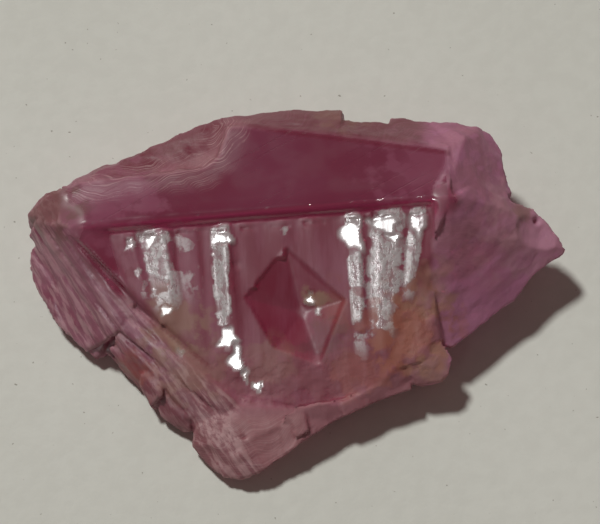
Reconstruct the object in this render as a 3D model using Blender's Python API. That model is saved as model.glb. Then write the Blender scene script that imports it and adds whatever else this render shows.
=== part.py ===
"""A rough sapphire crystal fragment, lying on its flat resting face.

The stone is one broken piece of a crystal.  A flat growth face, the crown, slopes over
its top.  Below the crown's front edge a striated face falls to the front, with growth
ribs down it and a shallow diamond-shaped hollow.  Fracture surfaces close it all round:
a ribbed left flank, a fold and a round lobe at the front left, a thin wing on the right.

Axes: +X along the stone's length, +Y to the back, +Z up, metres.  The origin is on the
resting face, under the middle of the stone's outline.
"""
import math

import bmesh
import bpy
from mathutils import Vector, noise

MM = 0.001  # one millimetre, in metres; every size below is in millimetres

# The crown is a plane: its height over the origin, its rise to the right and its fall
# to the back, per millimetre.
CROWN_HEIGHT = 5.1
CROWN_RISE = 0.076
CROWN_FALL = 0.24

# The striated front face is a plane too, steeper, that falls towards the front.
FRONT_HEIGHT = 4.3
FRONT_RISE = 0.034
FRONT_SLOPE = 0.525

BEVEL_RUN = 0.25         # the bevel between the crown and the front face: its width
BEVEL_RISE = 0.43        # and its height
CUT_REACH = 4            # how many bevel heights the cut that leaves it reaches up
RESTING_DEPTH = 0.6      # how far the lumps reach below the resting face before the cut
ROUGH_STEP = 1.0         # longest edge on a broken surface
ROUGH_ROUNDS = 3         # how often its longer edges are halved
ROUGH_DEPTH = 0.12       # how far a broken surface wanders
ROUGH_SCALE = 1.4        # size of one undulation
ROUGH_OFFSETS = (7.3, 3.1, 5.7)     # how far apart two seeds' undulations lie
SLAB_ROUGH = 0.05        # how far the narrow slabs of a ribbed side wander
SLAB_OVERLAP = 0.02      # how far a slab runs in under the next, as a share of its side
BAND_FADE = 0.35         # how much of a growth band's height is left at its lower end
BAND_EDGE = 0.08         # how far a band's sides lean in
SMALL_BALL = 0.65        # a ball no larger than this has few facets
BITE_CENTRE = 0.7        # how high a bite's cutter stands over the surface it cuts
STONE_COLOUR = (0.20, 0.045, 0.075, 1.0)
STONE_ROUGHNESS = 0.35


def crown(x, y, below=0.0):
    """A point on the crown, or a little below it."""
    return (x, y, CROWN_HEIGHT + CROWN_RISE * x - CROWN_FALL * y - below)


def front(x, y, above=0.0):
    """A point on the striated front face, or a little above it."""
    return (x, y, FRONT_HEIGHT + FRONT_RISE * x + FRONT_SLOPE * y + above)


def foot(x, y):
    """A corner of a lump's underside, which the resting cut trims to z = 0."""
    return (x, y, -RESTING_DEPTH)


# ------------------------------------------------------------------ tools
def new_collection(name):
    collection = bpy.data.collections.new(name)
    bpy.context.scene.collection.children.link(collection)
    return collection


def place(bm, name, collection):
    """Turn a bmesh, made in millimetres, into an object of a collection, in metres."""
    bmesh.ops.scale(bm, vec=(MM, MM, MM), verts=bm.verts)
    bmesh.ops.recalc_face_normals(bm, faces=bm.faces)
    mesh = bpy.data.meshes.new(name)
    bm.to_mesh(mesh)
    bm.free()
    piece = bpy.data.objects.new(name, mesh)
    collection.objects.link(piece)
    return piece


def wrap(corners):
    """The convex body around a set of corners."""
    bm = bmesh.new()
    for corner in corners:
        bm.verts.new(corner)
    bmesh.ops.convex_hull(bm, input=bm.verts)
    loose = [vert for vert in bm.verts if not vert.link_faces]
    bmesh.ops.delete(bm, geom=loose, context="VERTS")
    return bm


def weather(bm, seed, depth=ROUGH_DEPTH):
    """Give a clean-cut lump the gentle swell of a broken surface."""
    for _ in range(ROUGH_ROUNDS):
        long_edges = [edge for edge in bm.edges if edge.calc_length() > ROUGH_STEP]
        bmesh.ops.subdivide_edges(bm, edges=long_edges, cuts=1)
        bmesh.ops.triangulate(bm, faces=bm.faces)
    offset = Vector(ROUGH_OFFSETS) * seed
    for vert in bm.verts:
        vert.co += noise.noise_vector(vert.co / ROUGH_SCALE + offset) * depth


def lump(name, corners, seed=None, depth=ROUGH_DEPTH):
    """A convex lump of the stone; with a seed its faces swell like broken ones."""
    bm = wrap(corners)
    if seed is not None:
        weather(bm, seed, depth)
    return place(bm, name, LUMPS)


def ball(name, centre, radii, facing=(0, 0, 1)):
    """An ellipsoid cutter whose third radius lies along the way it faces."""
    bm = bmesh.new()
    fineness = 3 if max(radii) > SMALL_BALL else 2
    bmesh.ops.create_icosphere(bm, subdivisions=fineness, radius=1.0)
    bmesh.ops.scale(bm, vec=radii, verts=bm.verts)
    turn = Vector(facing).to_track_quat("Z", "Y").to_matrix()
    bmesh.ops.rotate(bm, matrix=turn, verts=bm.verts)
    bmesh.ops.translate(bm, vec=centre, verts=bm.verts)
    return place(bm, name, CUTTERS)


def bite(name, spot, facing, reach, depth, stretch=1.0):
    """A shell-shaped fracture: a shallow bowl of this reach and depth in a surface.

    The cutter's lowest part alone goes in, so the bowl meets the surface at a low angle.
    """
    height = depth / (1 - BITE_CENTRE)
    width = reach / math.sqrt(1 - BITE_CENTRE ** 2)
    facing = Vector(facing).normalized()
    centre = Vector(spot) + facing * height * BITE_CENTRE
    return ball(name, centre, (width * stretch, width, height), facing)


def groove(name, start, end, width, depth):
    """A V-shaped cutter that scores a surface from start to end."""
    start, end = Vector(start), Vector(end)
    side = (end - start).cross(Vector((0, 0, 1))).normalized() * width / 2
    corners = []
    for point in (start, end):
        lift = Vector((0, 0, depth))
        corners += [point - side + lift, point + side + lift, point - lift]
    return place(wrap(corners), name, CUTTERS)


def slabs(name, upper, lower, inner, count, outward, steps, seed):
    """Overlapping slabs from an upper line to a lower one, each standing out a little
    more or less than the last, which leaves ledges along a broken side."""
    def on_line(line, share):
        place_on = min(share * (len(line) - 1), len(line) - 1 - 1e-6)
        piece, part = int(place_on), place_on % 1.0
        return Vector(line[piece]).lerp(Vector(line[piece + 1]), part)

    outward = Vector(outward).normalized()
    for number in range(count):
        push = outward * steps[number % len(steps)]
        shares = (number / count - SLAB_OVERLAP, (number + 1) / count + SLAB_OVERLAP)
        corners = [on_line(line, min(max(share, 0.0), 1.0)) + push
                   for line in (upper, lower) for share in shares]
        lump(f"{name}_{number}", corners + inner, seed=seed + number, depth=SLAB_ROUGH)


# ------------------------------------------------------------------ lumps of the stone
def body():
    """The middle of the stone, under the crown."""
    crown_outline = [(-8.4, 0.0), (-9.0, 0.35), (-9.0, 1.75), (-6.3, 3.0), (-2.75, 4.4),
                     (-0.3, 4.15), (5.6, 3.05), (5.6, 0.95)]
    front_outline = [(-6.35, -1.4), (-5.0, -2.3), (-4.1, -3.65), (-2.0, -5.5),
                     (0.1, -5.9), (1.6, -5.55), (3.3, -4.05), (4.05, -2.4), (5.05, 0.7)]
    back_edge = [(-8.8, 1.8, 3.0), (-7.6, 2.5, 2.9), (-5.2, 3.75, 2.8), (-2.9, 4.45, 3.0),
                 (3.75, 4.85, 3.5), (5.4, 4.5, 3.6)]
    base_outline = [(-7.6, 1.0), (-7.6, -1.5), (-5.6, -3.6), (-2.4, -5.6), (2.6, -4.8),
                    (5.2, -1.6), (6.0, 1.5), (2.5, 3.9), (-2.5, 3.7), (-6.0, 2.5)]
    corners = [crown(x, y) for x, y in crown_outline]
    corners += [front(x, y) for x, y in front_outline]
    corners += back_edge
    corners += [foot(x, y) for x, y in base_outline]
    return corners


def underside():
    """The broad low mass that the stone rests on, bevelled in under its rims."""
    waist = [(-9.2, 0.9, 1.3), (-9.3, -1.4, 0.8), (-7.3, -3.5, 0.6), (-4.4, -6.2, 0.5),
             (-3.2, -7.4, 0.5), (-1.0, -7.5, 0.8), (3.6, -5.0, 0.9), (6.2, -2.2, 1.0),
             (7.6, 0.8, 1.3), (7.0, 3.0, 1.5), (3.6, 4.5, 1.6), (-3.0, 4.6, 1.5),
             (-6.8, 3.0, 1.4)]
    base_outline = [(-8.0, 0.8), (-8.2, -1.6), (-6.4, -3.4), (-3.4, -6.6), (-1.4, -6.8),
                    (2.8, -4.7), (5.4, -1.8), (6.2, 1.6), (2.6, 3.8), (-2.6, 3.7), (-6.2, 2.4)]
    lump("underside", waist + [foot(x, y) for x, y in base_outline], seed=20)


def left_flank():
    """The fracture that ends the stone on the left, in long slanting slabs, and its tip."""
    upper = [(-8.8, 0.2, 4.25), (-9.7, 0.75, 3.7), (-10.05, 0.7, 2.4), (-10.1, -0.3, 1.1)]
    lower = [(-6.3, -2.7, 2.45), (-6.8, -3.1, 1.9), (-7.4, -3.4, 1.2), (-8.1, -3.4, 0.55)]
    inner = [(-6.0, -0.6, 3.3), (-6.4, 0.6, 2.4), (-6.6, 0.4, 1.2), (-5.6, -2.0, 0.6)]
    slabs("left_flank", upper, lower, inner, 9, (-0.75, -0.6, 0.25),
          (0.0, 0.10, 0.02, 0.14, 0.05, 0.12, 0.0), seed=1)
    lump("left_base", [
        (-9.9, 1.1, 2.4), (-10.15, -0.3, 1.2), (-9.85, -1.3, 0.85), (-9.15, -2.4, 0.65),
        (-8.45, -3.05, 0.55), (-7.6, -3.75, 0.5), (-8.9, 1.9, 2.2), (-6.5, -2.0, 1.8),
        foot(-8.4, 0.8), foot(-8.2, -1.6), foot(-6.9, -3.0), foot(-4.5, -2.0)], seed=15)
    lump("left_tip", [
        (-9.8, 0.80, 3.65), (-9.4, 0.50, 3.90), (-9.6, 1.35, 3.9), (-10.1, 1.0, 3.3),
        (-10.1, 0.8, 2.3), (-10.0, 1.4, 2.6), (-9.4, 1.8, 3.5), (-8.5, 0.3, 4.25),
        (-8.6, 1.6, 4.1), (-8.4, 0.6, 2.0), (-9.2, 1.8, 2.2)], seed=2, depth=0.06)


def lower_left():
    """The mass between the striated face and the front left rim, in flowing slabs."""
    upper = [(-6.5, -2.3, 2.6), (-6.9, -3.0, 1.9), (-6.9, -3.6, 1.2)]
    lower = [(-2.1, -5.5, 1.45), (-2.9, -6.2, 1.15), (-4.2, -6.35, 0.85)]
    inner = [(-4.2, -3.0, 1.4), (-5.0, -3.4, 0.4), (-3.0, -4.6, 0.4)]
    slabs("lower_left", upper, lower, inner, 5, (-0.5, -0.6, 0.62),
          (0.02, 0.12, 0.0, 0.10, 0.04), seed=30)


def fold():
    """The steep folded band along the front left rim, in three overlapping leaves."""
    lump("fold_upper", [
        (-7.2, -3.5, 1.2), (-6.65, -4.05, 0.8), (-5.95, -4.75, 0.95), (-5.6, -4.3, 1.5),
        (-6.7, -4.1, 0.3), (-6.0, -4.8, 0.3), (-5.2, -4.0, 0.3), (-6.2, -3.2, 1.5)], seed=4)
    lump("fold_middle", [
        (-5.95, -4.6, 1.35), (-6.0, -4.9, 0.8), (-5.5, -5.7, 0.8), (-5.2, -5.5, 1.25),
        (-5.9, -4.95, 0.3), (-5.4, -5.7, 0.3), (-4.6, -5.0, 0.3), (-4.9, -4.6, 1.5)], seed=5)
    lump("fold_lower", [
        (-5.35, -5.4, 1.0), (-5.2, -6.05, 0.55), (-4.75, -6.35, 0.5), (-4.05, -6.65, 0.55),
        (-4.1, -6.3, 1.05), (-5.15, -5.9, 0.15), (-4.3, -6.5, 0.1), (-3.6, -5.4, 0.2)], seed=6)


def front_lobe():
    """The round, smooth lobe that reaches furthest to the front."""
    lump("front_lobe", [
        (-4.0, -7.2, 0.45), (-3.4, -7.9, 0.4), (-2.75, -8.35, 0.5), (-2.2, -8.5, 0.6),
        (-1.6, -8.4, 0.8), (-1.0, -8.05, 1.0), (-0.3, -7.55, 1.1), (0.0, -7.35, 1.15),
        (-3.9, -6.4, 0.95), (-3.3, -7.3, 1.05), (-2.3, -7.7, 1.2), (-1.2, -7.4, 1.3),
        (-2.4, -6.5, 1.4), (-0.5, -6.9, 1.35), (-1.9, -5.6, 1.4), (0.0, -6.0, 1.3),
        foot(-3.3, -7.2), foot(-1.9, -7.7), foot(-0.4, -6.6), foot(-2.0, -5.0)],
        seed=7, depth=0.08)


def front_fringe():
    """The broken front edge, with thin flakes that overlap along it."""
    lump("front_fringe", [
        (-0.3, -7.2, 1.0), (0.7, -6.75, 1.1), (1.6, -6.65, 1.1), (2.35, -6.35, 1.15),
        (3.1, -6.0, 1.2), (4.2, -5.25, 1.3), front(0.1, -5.85), front(1.6, -5.5),
        front(3.3, -4.0), (-0.6, -6.6, 1.4), (4.3, -4.3, 1.9),
        foot(0.0, -5.6), foot(3.4, -4.4), foot(2.0, -2.0)], seed=8, depth=0.08)
    flakes = [  # where each flake's outer edge starts and ends, its height and thickness
        ((-0.15, -7.45), (1.15, -6.85), 1.15, 0.30), ((0.75, -6.95), (2.05, -6.60), 1.05, 0.24),
        ((1.70, -6.80), (2.75, -6.25), 1.25, 0.32), ((2.50, -6.45), (3.70, -5.75), 1.20, 0.26),
        ((3.30, -5.95), (4.25, -5.35), 1.35, 0.34), ((-0.5, -7.30), (0.35, -6.90), 1.35, 0.22)]
    for number, ((x1, y1), (x2, y2), height, thick) in enumerate(flakes):
        lump(f"flake_{number}", [
            (x1, y1, height), (x2, y2, height + 0.06), (x1 - 0.15, y1 + 0.9, height + thick),
            (x2 - 0.25, y2 + 1.2, height + thick + 0.1), (x1 + 0.2, y1 + 0.3, height - thick),
            (x2 - 0.1, y2 + 0.35, height - thick)], seed=40 + number, depth=0.06)


def corner_block():
    """The small squared block at the front right corner."""
    lump("corner_block", [
        (4.35, -5.15, 1.45), (5.35, -5.0, 1.5), (5.6, -4.8, 1.6), (5.75, -4.2, 1.8),
        (4.0, -4.5, 2.0), (4.9, -4.6, 1.95), (5.3, -3.6, 2.2), (4.1, -3.4, 2.6),
        (4.6, -4.9, 0.7), (5.5, -4.4, 0.9), (4.2, -3.4, 0.2), (3.6, -4.4, 0.3)],
        seed=9, depth=0.08)


def right_wing():
    """The thin wing on the right, undercut below its rim."""
    lump("right_wing", [
        front(5.0, 0.65), crown(5.55, 0.95, 0.08), (6.8, 1.9, 4.1), (8.2, 2.3, 2.75),
        (7.8, 1.6, 3.4), (8.5, 1.9, 2.5),
        (9.3, 1.05, 2.35), (9.8, 0.5, 2.15), (10.1, 0.05, 1.95), (9.9, -0.35, 1.8),
        (9.3, -1.0, 1.7), (8.2, -1.6, 1.65), (6.9, -2.65, 1.65), (5.75, -3.7, 1.7),
        (4.6, -3.6, 2.1), (4.2, -2.4, 3.0), (4.6, -1.1, 3.7), (7.0, -0.9, 2.9),
        (9.0, 0.0, 1.2), (7.4, -1.6, 0.8), (5.4, -3.2, 0.8), (8.0, 1.6, 1.3),
        foot(6.2, -1.0), foot(6.6, 1.3), foot(4.0, -3.0), foot(3.0, 0.0)], seed=10)


def wing_root():
    """The ridged mass that joins the wing to the striated face, above the corner block."""
    lump("wing_root", [
        front(4.35, -1.2, -0.05), front(3.95, -2.5, -0.05), front(3.3, -4.0, -0.05),
        (5.0, -1.7, 3.25), (5.1, -2.8, 2.85), (5.3, -3.7, 2.2), (4.6, -4.4, 2.1),
        (3.7, -4.6, 1.9), (5.6, -3.3, 1.5), (3.2, -3.6, 0.6), (5.0, -3.2, 0.6),
        foot(3.0, -3.0)], seed=14, depth=0.08)


def right_shoulder():
    """The facets between the crown and the upper right rim."""
    lump("right_shoulder", [
        crown(5.4, 1.0, 0.08), crown(5.4, 3.0, 0.08), (6.2, 3.7, 4.45), (5.0, 4.65, 3.6),
        (6.9, 4.6, 3.1), (7.4, 4.3, 2.9), (7.75, 3.4, 2.75), (8.1, 2.65, 2.6),
        (8.5, 1.9, 2.5), (7.0, 1.3, 4.1), (7.0, 2.9, 3.9), (6.8, 4.2, 1.6),
        (7.7, 2.2, 1.4), foot(6.2, 3.2), foot(6.6, 1.3), foot(3.5, 3.4)], seed=11)


def back_lip():
    """The raised lip behind the crown, over a bulging back wall."""
    lump("back_lip", [
        (1.65, 5.3, 3.2), (0.25, 5.3, 3.25), (-1.35, 5.2, 3.15), (-2.95, 5.05, 3.05),
        (-3.9, 4.75, 2.85), (-2.6, 4.5, 3.65), (-0.3, 4.55, 3.85), (1.6, 4.7, 3.8),
        (1.5, 3.9, 4.15), (-2.4, 3.9, 3.9), (1.8, 5.0, 1.7), (-3.2, 4.6, 1.5),
        foot(1.5, 4.1), foot(-2.6, 4.0), (0.0, 2.0, 2.0)], seed=12, depth=0.08)
    lump("back_ledge", [
        (-5.2, 4.15, 2.7), (-6.35, 3.6, 2.75), (-7.75, 2.95, 2.9), (-8.9, 2.2, 3.0),
        (-3.9, 4.75, 2.9), (-2.9, 5.0, 3.0), (-2.7, 4.3, 3.6), (-5.0, 3.0, 3.9),
        (-8.4, 1.9, 3.8), (-7.4, 2.6, 1.2), (-2.9, 4.8, 2.0), (-4.2, 4.1, 1.1),
        foot(-4.0, 3.2), foot(-6.8, 2.2)], seed=13)


def front_ribs():
    """Growth bands down the striated face: flat strips, each tilted its own way."""
    bands = [  # x and y at the top, at the bottom, width, height of left and right side
        (-6.30, -0.25, -5.65, -2.30, 0.45, 0.16, 0.03),
        (-5.35, -0.10, -4.85, -3.05, 1.15, 0.04, 0.15),
        (-4.20, -0.05, -3.75, -3.60, 0.75, 0.10, 0.03),
        (-2.95, 0.00, -2.30, -4.90, 0.80, 0.06, 0.20),
        (-1.85, 0.10, -1.75, -1.90, 0.70, 0.10, 0.04),
        (-0.75, 0.15, -0.80, -0.90, 0.90, 0.03, 0.11),
        (0.55, 0.25, 0.85, -1.40, 0.90, 0.11, 0.04),
        (1.95, 0.35, 2.45, -4.40, 0.65, 0.05, 0.18),
        (3.20, 0.45, 3.10, -4.20, 1.15, 0.16, 0.05),
        (4.30, 0.50, 3.95, -2.60, 0.55, 0.05, 0.14)]
    for number, (top_x, top_y, low_x, low_y, width, left, right) in enumerate(bands):
        corners = []
        for x, y, share in ((top_x, top_y, 1.0), (low_x, low_y, BAND_FADE)):
            half = width * (1 + share) / 4
            corners += [front(x - half, y, -0.1), front(x + half, y, -0.1),
                        front(x - half + BAND_EDGE, y, left * share),
                        front(x + half - BAND_EDGE, y, right * share)]
        place(wrap(corners), f"front_band_{number}", RIBS)


# ------------------------------------------------------------------ hollows
def carve(name, corners, seed=None):
    """A flat-sided cut, or with a seed one with swelling sides."""
    bm = wrap(corners)
    if seed is not None:
        weather(bm, seed)
    return place(bm, name, CUTTERS)


def crown_cuts():
    """The notch in the back edge, and the chipped step behind the crown on the left."""
    carve("back_notch", [
        (1.85, 4.75, 2.2), (3.45, 4.6, 2.4), (2.1, 4.6, 4.6), (3.3, 4.45, 4.6),
        (1.7, 6.0, 2.0), (3.7, 6.0, 2.2), (1.7, 6.0, 4.8), (3.7, 6.0, 4.8)])
    carve("chipped_step", [
        crown(-8.3, 2.1, 0.25), crown(-6.6, 2.35, 0.3), crown(-3.6, 2.65, 0.25),
        crown(-3.1, 3.1, 0.2), crown(-2.7, 4.6, 0.15), crown(-3.2, 5.4, 0.6),
        crown(-8.6, 3.4, 0.85), crown(-8.3, 2.0, -0.4), crown(-3.6, 2.5, -0.4),
        crown(-3.0, 3.0, -0.4), crown(-2.6, 5.2, -0.4), crown(-8.6, 3.2, -0.4)], seed=60)
    groove("crown_step", crown(6.3, 3.9), crown(5.0, 1.3), 0.3, 0.09)


def striated_face():
    """The cut that leaves the front face below a steep, narrow bevel under the crown."""
    outline = [(-6.9, -0.1), (5.05, 0.7), (4.9, -2.4), (3.7, -4.9), (1.6, -5.7), (0.0, -6.0),
               (-2.0, -5.6), (-4.3, -4.3), (-6.3, -1.9)]
    corners = [front(x, y) for x, y in outline]
    corners += [front(x, y, CUT_REACH * BEVEL_RISE) for x, y in outline[2:-1]]
    for (x, y), out, back in ((outline[0], -1.7, BEVEL_RUN), (outline[1], 0.0, BEVEL_RUN),
                              (outline[-1], -1.1, -0.3)):
        foot_x, foot_y, foot_z = front(x, y)
        corners.append((foot_x + CUT_REACH * out, foot_y + CUT_REACH * back,
                        foot_z + CUT_REACH * BEVEL_RISE))
    carve("striated_face", corners)


def front_hollow():
    """The shallow diamond-shaped hollow in the middle of the striated face."""
    outline = [(-0.5, -0.5), (-2.0, -2.2), (-0.9, -3.9), (0.8, -4.5), (1.75, -2.3)]
    carve("front_hollow", [front(x, y, 0.5) for x, y in outline]
          + [front(x, y, -0.03) for x, y in outline] + [front(0.1, -2.6, -0.3)])


def bites():
    """Shell-shaped fractures: broad shallow ones on the broken sides, small rim bites."""
    bite("wing_upper", (7.2, 0.3, 3.95), (0.5, -0.25, 0.8), 1.7, 0.22, 1.2)
    bite("wing_lower", (6.6, -2.0, 2.75), (0.4, -0.5, 0.75), 1.2, 0.14, 1.4)
    bite("wing_end", (8.9, 0.3, 2.70), (0.5, 0.0, 0.85), 0.8, 0.12)
    bite("shoulder", (7.2, 3.0, 3.6), (0.65, 0.1, 0.75), 1.1, 0.07)
    bite("wing_under", (8.6, -0.6, 1.3), (0.5, -0.4, -0.75), 1.5, 0.25)
    bite("front_under", (2.4, -6.0, 0.6), (0.4, -0.85, -0.3), 1.9, 0.3, 1.5)
    bite("back_left", (-5.6, 3.6, 1.5), (-0.4, 0.9, -0.1), 1.7, 0.25, 1.3)
    bite("back_middle", (-0.9, 5.0, 1.9), (0.0, 1.0, -0.1), 1.3, 0.25, 1.3)
    bite("back_right", (4.6, 4.7, 2.2), (0.2, 0.95, -0.1), 1.4, 0.25, 1.2)
    bite("right_wall", (7.6, 2.4, 1.9), (0.9, 0.3, -0.2), 1.1, 0.2)
    bite("lobe_top", (-1.6, -7.3, 1.3), (0.15, -0.35, 0.92), 0.85, 0.06, 1.3)
    bite("lobe_side", (-3.2, -7.7, 0.8), (-0.6, -0.6, 0.5), 0.6, 0.08)
    bite("step_hollow", (-5.0, 3.3, 3.65), (-0.1, 0.4, 0.9), 0.9, 0.12, 1.6)
    ball("left_neck", (-10.5, 0.35, 1.9), (0.6, 0.35, 0.7))
    ball("fold_mouth", (-7.15, -4.45, 0.6), (0.5, 0.55, 0.6))
    ball("lobe_neck", (-4.45, -7.1, 0.2), (0.5, 0.4, 0.9))
    ball("fringe_bite", (0.55, -7.6, 1.2), (0.45, 0.5, 0.5))
    ball("wing_root_bite", (6.25, -4.0, 1.6), (0.5, 0.35, 0.9))
    ball("shoulder_pit", (8.15, 1.75, 3.1), (0.32, 0.24, 0.35))
    ball("wing_pit", (8.95, 1.0, 2.75), (0.2, 0.2, 0.3))
    ball("lobe_pit", (-2.05, -7.1, 1.45), (0.2, 0.14, 0.25))
    ball("tip_pit", (-9.2, 1.0, 4.2), (0.14, 0.14, 0.2))


def resting_cut():
    """The box that cuts the underside off flat, so that the stone lies still."""
    bm = bmesh.new()
    bmesh.ops.create_cube(bm, size=1.0)
    bmesh.ops.scale(bm, vec=(30, 30, 4), verts=bm.verts)
    bmesh.ops.translate(bm, vec=(0, 0, -2), verts=bm.verts)
    return place(bm, "resting_cut", CUTTERS)


# ------------------------------------------------------------------ the stone
def combine(piece, operation, collection):
    """Fuse a collection's lumps to the stone, or cut its hollows from it."""
    step = piece.modifiers.new(operation.title(), "BOOLEAN")
    step.operation = operation
    step.operand_type = "COLLECTION"
    step.collection = collection
    step.solver = "EXACT"


def hide(collection):
    for helper in collection.objects:
        helper.hide_render = True
        helper.display_type = "WIRE"


def fill_pockets(bm):
    """Keep the outer skin alone, which fills any pocket shut in between the lumps."""
    unseen = set(bm.faces)
    skins = []
    while unseen:
        skin, edge_of_search = set(), [unseen.pop()]
        while edge_of_search:
            face = edge_of_search.pop()
            skin.add(face)
            neighbours = {near for edge in face.edges for near in edge.link_faces} & unseen
            unseen -= neighbours
            edge_of_search += neighbours
        skins.append(skin)
    skins.sort(key=len)
    for skin in skins[:-1]:
        bmesh.ops.delete(bm, geom=list(skin), context="FACES")


def settle(piece):
    """Apply the stone's steps and set it on the origin, under its outline's middle."""
    depsgraph = bpy.context.evaluated_depsgraph_get()
    mesh = bpy.data.meshes.new_from_object(piece.evaluated_get(depsgraph))
    piece.modifiers.clear()
    bm = bmesh.new()
    bm.from_mesh(mesh)
    fill_pockets(bm)
    low, high = [[pick(vert.co[axis] for vert in bm.verts) for axis in range(3)]
                 for pick in (min, max)]
    shift = (-(low[0] + high[0]) / 2, -(low[1] + high[1]) / 2, -low[2])
    bmesh.ops.translate(bm, vec=shift, verts=bm.verts)
    bm.to_mesh(mesh)
    bm.free()
    mesh.name = piece.name
    piece.data = mesh


def stone_material():
    material = bpy.data.materials.new("rough_sapphire")
    material.use_nodes = True
    shader = material.node_tree.nodes["Principled BSDF"]
    shader.inputs["Base Color"].default_value = STONE_COLOUR
    shader.inputs["Roughness"].default_value = STONE_ROUGHNESS
    shader.inputs["Metallic"].default_value = 0.0
    return material


for old in list(bpy.data.objects):
    bpy.data.objects.remove(old, do_unlink=True)
STONE = new_collection("rough_sapphire")
LUMPS = new_collection("lumps")
CUTTERS = new_collection("cutters")
RIBS = new_collection("ribs")

underside()
left_flank()
lower_left()
fold()
front_lobe()
front_fringe()
corner_block()
right_wing()
wing_root()
right_shoulder()
back_lip()
front_ribs()
crown_cuts()
striated_face()
front_hollow()
bites()
resting_cut()

sapphire = place(wrap(body()), "sapphire", STONE)
combine(sapphire, "UNION", LUMPS)
combine(sapphire, "DIFFERENCE", CUTTERS)
combine(sapphire, "UNION", RIBS)
for helpers in (LUMPS, CUTTERS, RIBS):
    hide(helpers)
settle(sapphire)
sapphire.data.materials.clear()
sapphire.data.materials.append(stone_material())
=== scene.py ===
"""A rough sapphire crystal fragment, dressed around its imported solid.

The solid gives the stone's body.  Its skin is rebuilt here as one even mesh of small faces,
and each kind of surface is marked on its points.  Geometry Nodes raise the ribs, swell,
ripples and etch pits on it, and one shader gives it a translucent finish, wine red to mauve.
The mesh is worked on in millimetres, and is scaled to metres when its detail is done.
"""
import math
from types import SimpleNamespace

import bmesh
import bpy
import numpy as np
from mathutils import Matrix, Vector


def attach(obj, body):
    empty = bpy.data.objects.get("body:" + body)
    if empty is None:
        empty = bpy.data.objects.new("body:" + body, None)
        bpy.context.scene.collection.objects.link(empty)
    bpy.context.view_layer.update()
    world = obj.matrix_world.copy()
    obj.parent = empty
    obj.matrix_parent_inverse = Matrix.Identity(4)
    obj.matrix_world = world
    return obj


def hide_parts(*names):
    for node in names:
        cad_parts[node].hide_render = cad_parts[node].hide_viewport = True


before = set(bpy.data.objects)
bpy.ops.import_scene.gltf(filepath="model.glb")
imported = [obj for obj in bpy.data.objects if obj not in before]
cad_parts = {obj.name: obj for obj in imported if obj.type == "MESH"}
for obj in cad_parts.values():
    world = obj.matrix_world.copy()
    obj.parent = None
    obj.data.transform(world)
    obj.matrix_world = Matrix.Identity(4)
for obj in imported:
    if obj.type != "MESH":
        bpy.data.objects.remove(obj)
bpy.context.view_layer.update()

# ---------------------------------------------------------------- measures
MM = 0.001                    # metres in a millimetre
NODE = "sapphire"
MERGE_DISTANCE = 1e-7         # metres between points that the solid's triangles share
SKIN_GRAIN = 0.09             # side of the fine skin's faces
GLINT_LEAN = 0.15             # slope of the small bright facets, rising towards +X
BAND_LEAN = 0.11              # and of the silk bands
WINDOW_DEPTH = 1.7            # how many times as deep the diamond is here as in the solid
BULGE_ROUNDS = 3              # rounds of averaging that tell the skin's edges from its hollows
BAND_SOFTENING = 12           # rounds that round off the growth bands
EDGE_SOFTENING = 5            # and the bevel and the crown's edges
CROWN_FADE = 2                # rounds over which the crown's colour fades at its edges

# The stone is laid out on a drawing, in millimetres; its origin has this place in the frame
DRAWING_SHIFT = np.array((0.003, 1.584, 0.0))

# The stone's two flat faces, as heights over the drawing's origin and slopes along X and Y
CROWN_PLANE = (5.1, 0.076, -0.24)
CROWN_EDGE_RUN = (14.0, 0.95, 0.83)
FRONT_PLANE = (4.3, 0.034, 0.525)
FRONT_OUTLINE = [(-7.0, -0.06), (5.1, 0.74), (4.9, -2.0), (3.9, -4.6), (1.6, -5.9),
                 (-2.0, -5.9), (-4.6, -4.0), (-6.4, -1.9)]
FRONT_BORDER = 0.15           # how soft the front face's outline is

# The shallow diamond in the middle of the front face
WINDOW_OUTLINE = [(-0.5, -0.5), (1.75, -2.3), (0.8, -4.5), (-0.9, -3.9), (-2.0, -2.2)]
WINDOW_BORDER = 0.08          # and the diamond's

# Bands of milky silk down the front face: top, bottom, width, whiteness. Their white is partly
# the silk's own and partly painted glare.
SILK_BANDS = [
    ((-5.45, 0.15), (-4.75, -2.90), 1.20, 0.85), ((-2.95, 0.35), (-2.70, -4.20), 0.62, 0.90),
    ((-6.25, -0.20), (-5.60, -2.40), 0.30, 0.60), ((2.00, 0.60), (2.40, -4.60), 0.55, 0.80),
    ((3.35, 0.75), (3.00, -4.10), 1.25, 1.00), ((4.45, 0.75), (4.00, -2.60), 0.60, 0.85),
    ((-4.20, 0.10), (-3.90, -2.60), 0.90, 0.32)]

# Small bright facets on the front face, painted near-white as highlights: middle, half width,
# half length
GLINTS = [
    ((-2.75, -0.15), 0.26, 0.36), ((2.05, -0.10), 0.34, 0.55), ((3.22, 0.16), 0.50, 0.30),
    ((4.44, 0.12), 0.31, 0.30), ((-5.50, -0.28), 0.24, 0.20), ((-6.25, -0.40), 0.14, 0.14),
    ((-2.60, -3.55), 0.28, 0.30), ((-2.30, -4.25), 0.22, 0.42), ((-1.95, -4.80), 0.12, 0.22),
    ((-1.51, -5.18), 0.20, 0.14), ((-0.49, 0.00), 0.10, 0.10), ((-4.91, -2.62), 0.20, 0.14),
    ((-6.11, -2.45), 0.12, 0.12), ((0.45, -2.20), 0.14, 0.20), ((0.75, -2.60), 0.10, 0.12),
    ((3.55, -0.30), 0.30, 0.14), ((4.53, -4.60), 0.16, 0.12), ((-4.45, -4.05), 0.14, 0.24)]

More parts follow.
